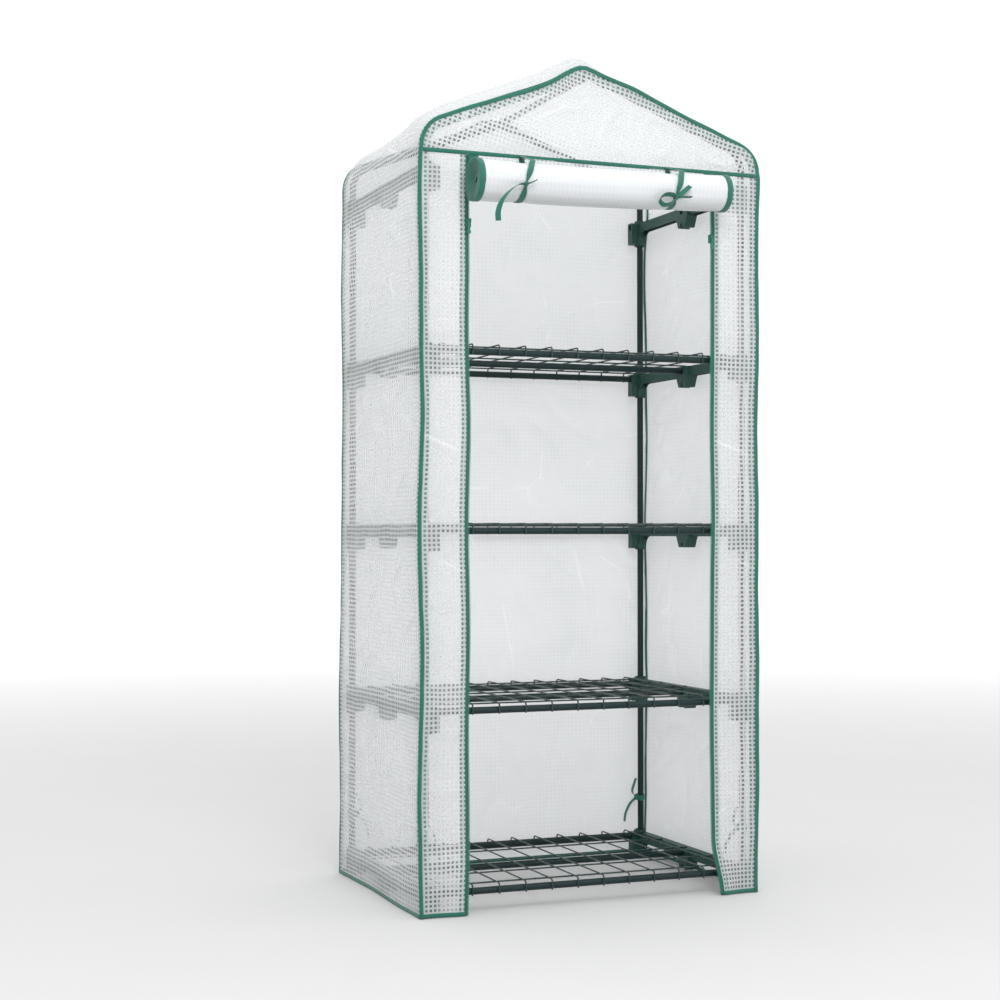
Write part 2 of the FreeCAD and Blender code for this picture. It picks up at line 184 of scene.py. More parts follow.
def lighter(color, share):
    return tuple(min(1.0, c * share) for c in color)


# ---- finishes -------------------------------------------------------------------------
def yarn_grid(finish, place):
    """1 on the yarns and 0 in the clear windows between them, with slightly uneven yarns."""
    drift = finish.cloud(place, 14, 1)
    split = finish.add("ShaderNodeSeparateXYZ")
    finish.join(place, split.inputs[0])
    windows = []
    for axis in (0, 1):
        pull = finish.math("MULTIPLY", finish.math("SUBTRACT", drift, 0.5), GRID * 0.5)
        shifted = finish.math("ADD", split.outputs[axis], pull)
        cell = finish.math("FRACT", finish.math("DIVIDE", shifted, GRID))
        away = finish.math("ABSOLUTE", finish.math("SUBTRACT", cell, 0.5))
        half = (GRID - YARN) / GRID / 2
        windows.append(finish.ramp(away, half - 0.05, half + 0.05, 1, 0))
    window = finish.math("MULTIPLY", *windows)
    return finish.math("SUBTRACT", 1.0, window)


def film_finish(name, haze, film=FILM_WHITE, yarn=YARN_WHITE, see_through=True):
    """Clear film laminated over a white yarn grid: soft gloss, cloudy patches, a few bent lines
    with a painted highlight along them.
    """
    finish = Finish(name, roughness=0.34, specular=0.45)
    cloth = finish.place("UV")
    grid = yarn_grid(finish, cloth)
    patches = finish.cloud(cloth, 7, 3, 0.6)
    crinkle = finish.cloud(cloth, 55, 3, 0.62)
    bends = finish.add("ShaderNodeTexVoronoi", feature="DISTANCE_TO_EDGE")
    bends.inputs["Scale"].default_value = 4.5
    finish.join(cloth, bends.inputs["Vector"])
    # patches where bent lines show; along them the film is painted lighter as a highlight
    creased_patches = finish.ramp(finish.cloud(cloth, 9, 2), 0.50, 0.64, 0, 0.8)
    crease = finish.math("MULTIPLY", finish.ramp(bends.outputs[0], 0.002, 0.014, 1, 0), creased_patches)
    tint = finish.mix(patches, lighter(film, 0.95), film)
    laminate = finish.mix(grid, tint, yarn)
    finish.shade(
        # lighter film along the bent lines: a painted highlight
        color=finish.mix(crease, laminate, lighter(film, 1.1)),
        roughness=finish.ramp(crinkle, 0.25, 0.75, 0.26, 0.42),
        normal=finish.bump(
            crease, 0.0012, 0.5, finish.bump(grid, 0.0002, 0.15, finish.bump(crinkle, 0.0008, 0.09))
        ),
    )
    if not see_through:
        return finish.material
    glow = finish.add("ShaderNodeBsdfTranslucent")
    glow.inputs["Color"].default_value = (0.86, 0.875, 0.88, 1)
    body = finish.add("ShaderNodeMixShader")
    body.inputs[0].default_value = 0.42
    finish.join(finish.shader.outputs[0], body.inputs[1])
    finish.join(glow.outputs[0], body.inputs[2])
    clear = finish.add("ShaderNodeBsdfTransparent")
    whole = finish.add("ShaderNodeMixShader")
    cloudy = finish.ramp(patches, 0.3, 0.75, haze - 0.06, haze + 0.10)
    # the bent lines are also less see-through, so their painted highlight shows whiter
    veil = finish.math("MAXIMUM", finish.math("MULTIPLY", crease, 0.75), cloudy)
    cover = finish.math("MAXIMUM", finish.math("MULTIPLY", grid, 0.90), veil)
    finish.join(cover, whole.inputs[0])
    finish.join(clear.outputs[0], whole.inputs[1])
    finish.join(body.outputs[0], whole.inputs[2])
    finish.join(whole.outputs[0], finish.output.inputs["Surface"])
    return finish.material


def ribbon_finish(name, color, width):
    """Woven tape: ribs across with painted shade in the grooves between them, a line of stitches
    and a slight sheen.
    """
    finish = Finish(name, roughness=0.72, specular=0.3)
    finish.shader.inputs["Sheen Weight"].default_value = 0.25
    cloth = finish.place("UV")
    split = finish.add("ShaderNodeSeparateXYZ")
    finish.join(cloth, split.inputs[0])
    across, along = split.outputs[0], split.outputs[1]
    ribs = finish.math("SINE", finish.math("MULTIPLY", along, 2 * math.pi / 0.0011))
    weft = finish.math("SINE", finish.math("MULTIPLY", across, 2 * math.pi / 0.0008))
    weave = finish.math("ADD", ribs, finish.math("MULTIPLY", weft, 0.5))
    shade = finish.cloud(cloth, 30, 3)
    dash = finish.ramp(finish.math("FRACT", finish.math("DIVIDE", along, 0.0042)), 0.3, 0.42, 1, 0)
    line = finish.math("ABSOLUTE", finish.math("SUBTRACT", across, width * 0.7))
    stitch = finish.math("MULTIPLY", dash, finish.ramp(line, 0.0003, 0.0006, 1, 0))
    cloth_color = finish.mix(shade, lighter(color, 0.72), lighter(color, 1.25))
    # darker where the weave is low: painted shade in the grooves between the ribs
    woven = finish.mix(finish.ramp(weave, -1.2, 0.6), lighter(color, 0.55), cloth_color)
    finish.shade(
        color=finish.mix(stitch, woven, lighter(color, 1.9)),
        normal=finish.bump(weave, 0.00025, 0.5, finish.bump(stitch, 0.0006)),
    )
    return finish.material


def powder_coat_finish(name, color):
    """Thin powder coat on steel tube: fine orange peel, faint handling marks."""
    finish = Finish(name, roughness=0.40, specular=0.32)
    place = finish.place()
    peel = finish.cloud(place, 900, 2)
    dust = finish.cloud(place, 18, 4, 0.6)
    rubbed = finish.ramp(finish.cloud(finish.place(size=(1, 1, 0.15)), 140, 3, 0.7), 0.62, 0.8)
    base = finish.mix(dust, lighter(color, 0.8), lighter(color, 1.35))
    finish.shade(
        color=finish.mix(rubbed, base, lighter(color, 2.6)),
        roughness=finish.ramp(dust, 0.3, 0.8, 0.30, 0.50),
        normal=finish.bump(peel, 0.0002, 0.35),
    )
    return finish.material


def wire_finish(name, color):
    """Plastic-dipped wire: soft gloss, slightly thicker and thinner along its length."""
    finish = Finish(name, roughness=0.32, specular=0.5)
    place = finish.place()
    runs = finish.cloud(place, 60, 3)
    finish.shade(
        color=finish.mix(runs, lighter(color, 0.75), lighter(color, 1.5)),
        roughness=finish.ramp(runs, 0.3, 0.7, 0.24, 0.46),
        normal=finish.bump(finish.cloud(place, 350, 2), 0.0004, 0.5),
    )
    return finish.material


def moulding_finish(name, color):
    """Recycled polypropylene, moulded: fine spark grain and soft flow streaks."""
    finish = Finish(name, roughness=0.5, specular=0.45)
    place = finish.place()
    grain = finish.cloud(place, 1400, 2)
    flow = finish.cloud(finish.place(size=(1, 0.35, 1)), 26, 4, 0.6)
    scuffs = finish.ramp(finish.cloud(place, 210, 4, 0.7), 0.66, 0.8)
    base = finish.mix(flow, lighter(color, 0.75), lighter(color, 1.3))
    finish.shade(
        color=finish.mix(scuffs, base, lighter(color, 2.0)),
        roughness=finish.ramp(flow, 0.3, 0.7, 0.42, 0.62),
        normal=finish.bump(grain, 0.0002, 0.5, finish.bump(flow, 0.001, 0.2)),
    )
    return finish.material


def zip_metal_finish(name, color):
    finish = Finish(name, roughness=0.35, specular=0.5)
    place = finish.place()
    chips = finish.ramp(finish.cloud(place, 700, 3, 0.7), 0.62, 0.7)
    finish.shade(
        color=finish.mix(chips, color, lighter(color, 2.2)),
        normal=finish.bump(finish.cloud(place, 1500, 2), 0.0002, 0.4),
    )
    return finish.material


FILM = film_finish("cover_film", haze=0.26)
MILKY_FILM = film_finish("cover_film_milky", haze=0.88)
ROLLED_FILM = film_finish(
    "rolled_door_film", 1.0, ROLLED_WHITE, lighter(ROLLED_WHITE, 1.03), see_through=False
)
BINDING_TAPE = ribbon_finish("woven_binding", RIBBON_GREEN, BINDING)
RIBBON = ribbon_finish("woven_ribbon", RIBBON_GREEN, RIBBON_WIDTH)
ZIP_TAPE = ribbon_finish("woven_zip_tape", ZIP_GREEN, 0.012)
POWDER_COAT = powder_coat_finish("powder_coated_tube", POWDER_GREEN)
WIRE_COAT = wire_finish("dipped_wire", WIRE_GREEN)
MOULDING = moulding_finish("moulded_arm", MOULDING_GREEN)
ZIP_METAL = zip_metal_finish("painted_zip_metal", ZIP_GREEN)


# ---- cloth and tape kit ---------------------------------------------------------------
def ease(t):
    t = min(1.0, max(0.0, t))
    return t * t * (3 - 2 * t)


def sway(point):
    """How far the loose cover as a whole hangs away from its straight cut."""
    wander, slack = 0.0042, 0.0012
    seat = point * 5.0
    x = noise.noise(seat + Vector((7.3, 0, 0)))
    y = noise.noise(seat + Vector((0, 19.1, 0)))
    outward_x = math.copysign(1, point.x) * slack
    outward_y = math.copysign(1, point.y - MIDDLE_Y) * slack
    return Vector((x * wander + outward_x, y * wander + outward_y, 0))


def crumple(point):
    """Depth of the film's creases, from about -1 to 1: slow billows, folds and sharp ridges."""
    slow = noise.noise(point * 3.1 + Vector((4.1, 2.7, 9.3)))
    warped = point + Vector((slow, -slow, slow)) * 0.06
    folds = noise.noise(warped * 8.0 + Vector((1.7, 8.2, 3.3)))
    slanted = Vector((warped.x + warped.z * 0.5, warped.y + warped.z * 0.5, warped.z * 0.55))
    ridge = max(0.0, 1 - 2.2 * abs(noise.noise(slanted * 12.0 + Vector((5.9, 0.4, 6.6)))))
    return 0.55 * slow + 0.35 * folds + 0.45 * ridge**3


def add_piece(name, bm, material, slot, smooth=True):
    mesh = bpy.data.meshes.new(name)
    for face in bm.faces:
        face.smooth = smooth
    bm.to_mesh(mesh)
    bm.free()
    mesh.materials.append(material)
    piece = bpy.data.objects.new(name, mesh)
    bpy.context.scene.collection.objects.link(piece)
    return piece


def sheet_piece(name, size, counts, shape, material, slot, cloth=None):
    """A cut of cloth of that size, in the place that shape(across, along) gives from 0 to 1."""
    bm = bmesh.new()
    bmesh.ops.create_grid(bm, x_segments=counts[0], y_segments=counts[1], size=0.5)
    layer = bm.loops.layers.uv.new("cloth")
    spots = {vert: (vert.co.x + 0.5, vert.co.y + 0.5) for vert in bm.verts}
    for face in bm.faces:
        for loop in face.loops:
            u, v = spots[loop.vert]
            loop[layer].uv = cloth(u, v) if cloth else (u * size[0], v * size[1])
    for vert, (u, v) in spots.items():
        vert.co = shape(u, v)
    return add_piece(name, bm, material, slot)


def tape_piece(name, path, sides, width, thick, material, slot, columns=8, pinch=None):
    """A flat tape along path. Each entry of sides points across the tape at that point, and
    pinch(share), if given, is the share of its width that it has there."""
    bm = bmesh.new()
    rows = len(path) - 1
    bmesh.ops.create_grid(bm, x_segments=columns, y_segments=rows, size=0.5)
    layer = bm.loops.layers.uv.new("cloth")
    lengths = [0.0]
    for a, b in zip(path, path[1:]):
        lengths.append(lengths[-1] + (b - a).length)
    spots = {}
    for vert in bm.verts:
        spots[vert] = (round((vert.co.x + 0.5) * columns), round((vert.co.y + 0.5) * rows))
    for face in bm.faces:
        for loop in face.loops:
            column, row = spots[loop.vert]
            loop[layer].uv = (2 * width * column / columns, lengths[row])
    for vert, (column, row) in spots.items():
        ahead = path[min(row + 1, rows)] - path[max(row - 1, 0)]
        side = sides[row].normalized()
        up = ahead.cross(side).normalized()
        turn = 2 * math.pi * column / columns
        flat = math.copysign(abs(math.cos(turn)) ** 0.45, math.cos(turn))
        tall = math.copysign(abs(math.sin(turn)) ** 0.7, math.sin(turn))
        half = width / 2 * (pinch(row / rows) if pinch else 1)
        vert.co = path[row] + side * flat * half + up * tall * thick / 2
    bmesh.ops.remove_doubles(bm, verts=bm.verts, dist=1e-6)
    bmesh.ops.holes_fill(bm, edges=[e for e in bm.edges if e.is_boundary])
    bmesh.ops.recalc_face_normals(bm, faces=bm.faces)
    return add_piece(name, bm, material, slot)


def smooth_path(points, steps):
    """Even points along a curve through the given ones."""
    points = [Vector(p) for p in points]
    ends = [points[0] * 2 - points[1], *points, points[-1] * 2 - points[-2]]
    curve = []
    for a, b, c, d in zip(ends, ends[1:], ends[2:], ends[3:]):
        for step in range(steps):
            t = step / steps
            curve.append(
                0.5
                * (
                    2 * b
                    + (c - a) * t
                    + (2 * a - 5 * b + 4 * c - d) * t * t
                    + (3 * b - a - 3 * c + d) * t**3
                )
            )
    curve.append(points[-1])
    return curve


# ---- the cover's outline --------------------------------------------------------------
def outline_points(step):
    """Even points (x, z) with outward normals, up the left wall, over the roof and down."""
    eave_x = WALL_X - EAVE_R
    corner = math.pi / 2 - SLOPE
    eave_z = PEAK_Z - WALL_X * math.tan(SLOPE) - EAVE_R * math.tan(corner / 2)
    peak_z = PEAK_Z - PEAK_R / math.cos(SLOPE)
    start = Vector((eave_x + EAVE_R * math.sin(SLOPE), eave_z + EAVE_R * math.cos(SLOPE)))
    end = Vector((PEAK_R * math.sin(SLOPE), peak_z + PEAK_R * math.cos(SLOPE)))
    rafter = (end - start).length
    lengths = [eave_z - HEM_Z, EAVE_R * corner, rafter, PEAK_R * SLOPE]
    total = sum(lengths)

    def at(distance):
        if distance < lengths[0]:
            return Vector((WALL_X, HEM_Z + distance)), Vector((1, 0))
        distance -= lengths[0]
        if distance < lengths[1]:
            angle = distance / EAVE_R
            normal = Vector((math.cos(angle), math.sin(angle)))
            return Vector((eave_x, eave_z)) + normal * EAVE_R, normal
        distance -= lengths[1]
        if distance < lengths[2]:
            normal = Vector((math.sin(SLOPE), math.cos(SLOPE)))
            return start.lerp(end, distance / lengths[2]), normal
        angle = math.pi / 2 - SLOPE + (distance - lengths[2]) / PEAK_R
        normal = Vector((math.cos(angle), math.sin(angle)))
        return Vector((0, peak_z)) + normal * PEAK_R, normal

    count = round(total / step)
    half = [at(total * i / count) for i in range(count + 1)]
    points = []
    for spot, normal in half:
        points.append((Vector((-spot.x, spot.y)), Vector((-normal.x, normal.y))))
    points += [(spot, normal) for spot, normal in reversed(half[:-1])]
    return points, total * 2


OUTLINE, OUTLINE_LENGTH = outline_points(0.006)


def seam_drop(share):
    """How far the front seam hangs inside the outline, a little unevenly."""
    spot, _ = OUTLINE[round(share * (len(OUTLINE) - 1))]
    if spot.y < HEADER_Z:
        return 0.0
    dip = ease(1 - abs(spot.x + 0.12) / 0.09)
    wobble = noise.noise(Vector((spot.x * 16, 3.7, 0)))
    return 0.001 + 0.004 * dip + 0.0022 * wobble


def roof_puff(share, deep):
    """How far the roof's film stands up behind its front seam: most on the left slope."""
    spot, _ = OUTLINE[round(share * (len(OUTLINE) - 1))]
    most = 0.020 - 0.013 * ease((spot.x + 0.01) / 0.08)
    rise = ease(deep / 0.032) * (1 - 0.6 * ease((deep - 0.03) / 0.16))
    back = ease((BACK_Y - FRONT_Y - deep) / 0.04)
    return most * rise * back * ease((spot.y - 1.42) / 0.06)


def outline_at(share, inset=0.0):
    spot, normal = OUTLINE[round(share * (len(OUTLINE) - 1))]
    return spot - normal * inset, normal


def flare(point):
    """The strips' lower inner corners curl out a little beside the door opening."""
    if point.y > FRONT_Y + 0.01 or point.z > 0.12:
        return Vector((0, 0, 0))
    near = ease((0.11 - point.z) / 0.11) * ease(1 - (abs(point.x) - OPENING_X) / 0.07)
    push = 0.016 if point.x > 0 else 0.004
    return Vector((math.copysign(push * near, point.x), -0.006 * near, 0))


def lean(point):
    """The right wall stands out a little, most at its eave, and the peak leans to the left."""
    out = 0.003 + 0.004 * ease(point.z / 0.2) + 0.005 * ease((point.z - 1.30) / 0.1)
    peak = ease(1 - abs(point.x) / 0.10) * ease((point.z - 1.50) / 0.06)
    return Vector((out * ease((point.x - 0.27) / 0.07) - 0.020 * peak, 0, 0))


def settled(point):
    return point + sway(point) + flare(point) + lean(point)


# ---- the cover ------------------------------------------------------------------------
def frame_hold(z):
    """How loose the film is: least where a tier of the rack holds it, 1 half-way between tiers."""
    near = min(abs(z - (LOWEST_TIER + TIER * tier)) for tier in range(TIERS))
    held, reach = 0.25, 0.09
    return held + (1 - held) * ease(near / reach)


def wrap_film(share, deep):
    """A point of the walls and roof, before its creases, with the way out of the cover there."""
    drop = seam_drop(share) * (1 - ease(deep / 0.016)) + 0.0006
    spot, normal = outline_at(share, drop - roof_puff(share, deep))
    return Vector((spot.x, FRONT_Y + deep, spot.y)), Vector((normal.x, 0, normal.y))


def cover_wrap():
    """Left wall, roof and right wall in one cut of film. The right wall is the milkier one."""
    columns, rows = len(OUTLINE) - 1, 78
    depth = BACK_Y - FRONT_Y
    crease = 0.012  # the deepest creases

    def shape(u, v):
        point, out = wrap_film(u, v * depth)
        edge = ease(min(v, 1 - v) * depth / 0.05) * ease(min(u, 1 - u) * OUTLINE_LENGTH / 0.04)
        loose = frame_hold(point.z) if point.z < HEADER_Z else 0.5
        lift = (crumple(point) * crease + 0.0015) * edge * loose
        return settled(point) + out * max(lift, -0.0025 - 0.006 * loose)

    piece = sheet_piece(
        "cover_walls_and_roof",
        (OUTLINE_LENGTH, depth),
        (columns, rows),
        shape,
        FILM,
        "cover_film",
    )
    piece.data.materials.append(MILKY_FILM)
    for face in piece.data.polygons:
        if face.center.x > WALL_X * 0.9 and face.center.z < HEADER_Z:
            face.material_index = 1
    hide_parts("cover_left", "cover_right", "cover_roof")
    return piece


def back_panel():
    """The back in one cut, its top edge under the gable's outline."""
    width, height = WALL_X * 2, TOP_Z - HEM_Z
    inner_width = width - 0.002

    def shape(u, v):
        x = (u - 0.5) * inner_width
        top = roof_height(x)
        point = Vector((x, BACK_Y - 0.0006, HEM_Z + v * (top - HEM_Z)))
        edge = ease(min(u, 1 - u) * width / 0.05) * ease(min(v, 1 - v) * height / 0.05)
        lift = (crumple(point) * 0.010 + 0.001) * edge * frame_hold(point.z)
        return settled(point) + Vector((0, max(lift, -0.004), 0))

    piece = sheet_piece(
        "cover_back_panel",
        (width, height),
        (112, 250),
        shape,
        MILKY_FILM,
        "cover_film",
        cloth=lambda u, v: (
            u * width,
            v * (roof_height((u - 0.5) * inner_width) - HEM_Z),
        ),
    )
    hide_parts("cover_back")
    return piece


def roof_height(x):
    """Height of the cover's outline over x."""
    best = None
    for spot, _ in OUTLINE:
        if spot.y < HEADER_Z - 0.02:
            continue
        gap = abs(spot.x - x)
        if best is None or gap < best[0]:
            best = (gap, spot.y)
    return best[1] - 0.0015


def gable_shares(steps):
    """Shares of the outline from the header seam's left end to its right end."""
    inside = [i for i, (spot, _) in enumerate(OUTLINE) if spot.y >= HEADER_Z]
    first, last = inside[0], inside[-1]
    return [(first + (last - first) * i / steps) / (len(OUTLINE) - 1) for i in range(steps + 1)]


def front_gable():
    """The film over the door. Its cloth was cut a little askew, so that its grid leans."""
    columns, rows = 130, 30
    askew = math.radians(14)
    shares = gable_shares(columns)

    def shape(u, v):
        share = shares[round(u * columns)]
        spot, _ = outline_at(share, seam_drop(share) + 0.001)
        point = Vector((spot.x, FRONT_Y, HEADER_Z + v * (spot.y - HEADER_Z)))
        edge = ease(min(u, 1 - u) * 12) * ease(min(v, 1 - v) * 5)
        return settled(point) - Vector((0, (crumple(point * 1.4) * 0.007 + 0.002) * edge, 0))

    def cloth(u, v):
        share = shares[round(u * columns)]
        spot, _ = outline_at(share, seam_drop(share))
        x, z = spot.x, v * (spot.y - HEADER_Z)
        return (
            x * math.cos(askew) - z * math.sin(askew),
            x * math.sin(askew) + z * math.cos(askew),
        )

    size = (WALL_X * 2, TOP_Z - HEADER_Z)
    counts = (columns, rows)
    piece = sheet_piece("front_gable_film", size, counts, shape, FILM, "cover_film", cloth)
    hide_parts("cover_front_gable")
    return piece


def front_strip(side):
    """The fixed film beside the door, from the header seam to the floor."""
    name = "left" if side < 0 else "right"
    overlap = 0.005  # of the film over its zip tape
    width, height = WALL_X - STRIP_X + overlap, HEADER_Z - HEM_Z

    def shape(u, v):
        x = side * (STRIP_X - overlap + (u if side > 0 else 1 - u) * width)
        point = Vector((x, FRONT_Y, HEM_Z + v * height))
        edge = ease(min(u, 1 - u) * 6) * ease(min(v, 1 - v) * 20)
        lift = (crumple(point) * 0.006 + 0.001) * edge
        return settled(point) - Vector((0, max(lift, -0.002), 0))

    piece = sheet_piece(
        f"front_strip_film_{name}", (width, height), (16, 230), shape, FILM, "cover_film"
    )
    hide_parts(f"cover_front_{name}")
    return piece


# ---- bindings -------------------------------------------------------------------------
def edge_binding(name, y, drop, node):
    """Tape folded over the seam round the front or back, from hem to hem."""
    count = (len(OUTLINE) - 1) // 2
    path, sides = [], []
    for i in range(count + 1):
        share = i / count
        inset = (seam_drop(share) if drop else 0.0) + BINDING * 0.38
        ripple = 0.0011 * noise.noise(Vector((i * 0.21, y * 9, 5.5)))
        spot, normal = outline_at(share, inset + ripple)
        point = Vector((spot.x, y, spot.y))
        path.append(settled(point))
        sides.append(Vector((normal.x, 0, normal.y)))
    piece = tape_piece(name, path, sides, BINDING, 0.0036, BINDING_TAPE, "ribbon")
    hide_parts(node)
    return piece


def seam_lips():
    """The raw seam inside the front binding, seen through the film: a lip along each panel."""
    count = (len(OUTLINE) - 1) // 2
    for name in ("walls", "front"):
        path, sides = [], []
        for i in range(count + 1):
            share = i / count
            if name == "walls":
                point, out = wrap_film(share, LIP / 2)
                point -= out * 0.0018
                side = Vector((0, 1, 0))
            else:
                spot, normal = outline_at(share, seam_drop(share) + BINDING * 0.6 + LIP / 2)
                point = Vector((spot.x, FRONT_Y + 0.0028, spot.y))
                side = Vector((normal.x, 0, normal.y))
            path.append(settled(point))
            sides.append(side)
        piece = tape_piece(f"seam_lip_{name}", path, sides, LIP, 0.0009, BINDING_TAPE, "ribbon")
        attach(piece, ROOT)


def straight_tape(name, start, end, across, width, thick, material, slot, steps):
    """A tape sewn along a straight seam, hanging as the cover hangs."""
    start, end = Vector(start), Vector(end)
    path = [settled(start.lerp(end, i / steps)) for i in range(steps + 1)]
    return tape_piece(name, path, [Vector(across)] * (steps + 1), width, thick, material, slot)


def hems():
    """Binding along the lower edges, with a gap at the door opening."""
    up = (0, 0, 1)
    z = HEM_Z + BINDING / 2
    wall, strip = WALL_X - 0.001, STRIP_X - 0.006
    y0, y1 = FRONT_Y, BACK_Y - 0.001
    runs = {
        "hem_left": ((-wall, y0, z), (-wall, y1, z)),
        "hem_right": ((wall, y1, z), (wall, y0, z)),
        "hem_back": ((-wall, y1, z), (wall, y1, z)),
        "hem_front_left": ((-strip, y0, z), (-wall, y0, z)),
        "hem_front_right": ((wall, y0, z), (strip, y0, z)),
    }
    for name, (start, end) in runs.items():
        piece = straight_tape(
            name, start, end, up, BINDING, HEM_THICK, BINDING_TAPE, "ribbon", 60
        )
        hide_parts("binding_hem")
        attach(piece, ROOT)


def header_seam():
    """Binding from side to side over the door."""
    y = FRONT_Y - 0.001
    end = WALL_X - BINDING
    piece = straight_tape(
        "header_seam",
        (end, y, HEADER_Z),
        (-end, y, HEADER_Z),
        (0, 0, 1),
        BINDING,
        HEM_THICK,
        BINDING_TAPE,
        "ribbon",
        110,
    )
    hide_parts("binding_header")
    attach(piece, ROOT)


# ---- zips -----------------------------------------------------------------------------
def zip_side(side):
    """One side of the zip: its woven tape and the coil of teeth on the tape's inner edge."""
    name = "left" if side < 0 else "right"
    width = STRIP_X - OPENING_X + 0.005  # it runs on behind the film
    x = side * (OPENING_X + width / 2)
    y = FRONT_Y + 0.0012
    top = HEADER_Z - BINDING / 2
    piece = straight_tape(
        f"woven_zip_tape_{name}",
        (x, y, top),
        (x, y, HEM_Z),
        (side, 0, 0),
        width,
        0.0018,
        ZIP_TAPE,
        "zip_tape",
        220,
    )
    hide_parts(f"zip_tape_{name}")
    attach(piece, ROOT)
    bm = bmesh.new()
    pitch = 0.0032  # from tooth to tooth
    first_z = HEM_Z + 0.003
    for i in range(int((top - HEM_Z - 0.004) / pitch)):
        spot = Vector((side * (OPENING_X - 0.0002), y, first_z + pitch * i))
        size = Matrix.Diagonal((0.0032, 0.0026, pitch * 0.6, 1))
        bmesh.ops.create_cube(bm, size=1, matrix=Matrix.Translation(settled(spot)) @ size)
    coil = add_piece(f"zip_coil_{name}", bm, ZIP_METAL, "zip_tape", smooth=False)
    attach(coil, ROOT)


# ---- the rolled door ------------------------------------------------------------------
ROLL_TURNS = 9.2
CORE_R = 0.006
ROLL_STEPS = 30  # points to a turn
ROLL_FLAT = 0.975  # how deep the roll is for its height
PLEAT_AT, PLEAT_WIDE = 203, 7  # degrees: a long crease low on the roll's front
KNOTS = {"left": -0.013, "right": -0.012}  # from the middle of each tie to its knot
KNOT_ANGLE = {"left": 196, "right": 211}  # round the roll: 180 is its front, 270 its underside
KNOT_X = {
    name: (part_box(f"door_tie_{name}")[0].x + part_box(f"door_tie_{name}")[1].x) / 2 + shift
    for name, shift in KNOTS.items()
}


def roll_section(x):
    """Height of the roll's axis and its radius at x: thinner at the right and under the ties."""
    share = (x - ROLL_LOW.x) / (ROLL_HIGH.x - ROLL_LOW.x)
    squeeze = sum(0.05 * math.exp(-(((x - knot_x) / 0.02) ** 2)) for knot_x in KNOT_X.values())
    return ROLL_Z + 0.009 * (share - 0.5), (ROLL_R - 0.001) * (1 - 0.09 * share - squeeze)


def spiral(share):
    """A point of the roll's section, for a radius of 1: from the core at 0 to the outside at 1."""
    outer_end = math.radians(60)
    turn = outer_end - (1 - share) * ROLL_TURNS * 2 * math.pi
    core = CORE_R / ROLL_R
    return Vector((math.cos(turn), math.sin(turn))) * (core + (1 - core) * share)


def roll_layers(name, x0, x1, columns, material, slot, telescope, proud=0.0):
    """One width of the wound door. telescope pushes the inner turns along the axis."""
    rows = int(ROLL_TURNS * ROLL_STEPS)

    def shape(u, v):
        x = x0 + (x1 - x0) * u + telescope * (1 - v) ** 1.5
        z, radius = roll_section(x)
        flat = spiral(v) * (radius + proud)
        angle = math.degrees(math.atan2(flat.y, flat.x)) % 360
        off_pleat = angle - PLEAT_AT + 25 * (x - ROLL_LOW.x)
        pleat = 1 - 0.035 * math.exp(-((off_pleat / PLEAT_WIDE) ** 2))
        dent = pleat + 0.02 * noise.noise(Vector((x * 6, flat.x * 20, flat.y * 20)))
        sag = 0.003 * math.sin(math.pi * (x - ROLL_LOW.x) / (ROLL_HIGH.x - ROLL_LOW.x))
        return Vector((x, ROLL_Y + flat.x * ROLL_FLAT * dent, z + flat.y * dent - sag))

    length = sum((spiral((i + 1) / rows) - spiral(i / rows)).length for i in range(rows)) * ROLL_R
    piece = sheet_piece(name, (abs(x1 - x0), length), (columns, rows), shape, material, slot)
    return piece, length


def door_roll():
    """The wound film and, at each end, the wound green tape of the door's edge."""
    tape = 0.011
    x0, x1 = ROLL_LOW.x, ROLL_HIGH.x
    film, length = roll_layers(
        "door_roll_film", x0 + tape * 0.6, x1 - tape * 0.4, 90, ROLLED_FILM, "cover_film", 0.0
    )
    left, _ = roll_layers(
        "door_roll_edge_left", x0, x0 + tape, 4, RIBBON, "ribbon", 0.007, 0.0006
    )
    right, _ = roll_layers(
        "door_roll_edge_right", x1 - tape, x1, 4, RIBBON, "ribbon", -0.004, 0.0006
    )
    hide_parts("door_roll")
    for piece in (film, left, right):
        thick = piece.modifiers.new("cloth_thickness", "SOLIDIFY")
        thick.thickness = 0.0005 if piece is film else 0.0028
        thick.offset = 0
        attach(piece, "door_roll")
        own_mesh(piece)


def door_sheet():
    """The door from the header seam to its roll. Its cloth runs out as the roll goes down."""
    top, bottom = HEADER_Z - 0.002, ROLL_Z - 0.004
    drop = top - bottom
    rows = 150
    whole = drop + DOOR_TRAVEL
    levels = []
    t = 0.0
    for row in range(rows + 1):
        while t < 1 and t * drop + ease(t) * DOOR_TRAVEL < whole * row / rows:
            t += 0.0002
        levels.append(min(t, 1.0))

    def shape_of(x0, x1, forward):
        def shape(u, v):
            t = levels[round((1 - v) * rows)]
            run = whole * (1 - v)
            x = x0 + (x1 - x0) * u
            billow = crumple(Vector((x, 0.4, run))) * 0.002 * ease(run / 0.1)
            hang_y = FRONT_Y - 0.003 + (ROLL_HIGH.y + 0.004 - FRONT_Y + 0.003) * ease(t)
            return Vector((x, hang_y - forward + billow, top - t * drop))

        return shape

    x0, x1 = -OPENING_X - 0.003, ROLL_HIGH.x - 0.004
    tape = 0.015
    cuts = {
        "door_sheet": (x0 + tape, x1 - tape * 0.8, 40, FILM, "cover_film", 0.0),
        "door_edge_left": (x0, x0 + tape * 1.3, 4, RIBBON, "ribbon", 0.0008),
        "door_edge_right": (x1 - tape, x1, 4, RIBBON, "ribbon", 0.0008),
    }
    pieces = {}
    for name, (a, b, columns, material, slot, forward) in cuts.items():
        pieces[name] = sheet_piece(
            name, (b - a, whole), (columns, rows), shape_of(a, b, forward), material, slot
        )
        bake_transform(pieces[name])
    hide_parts("door_hang")


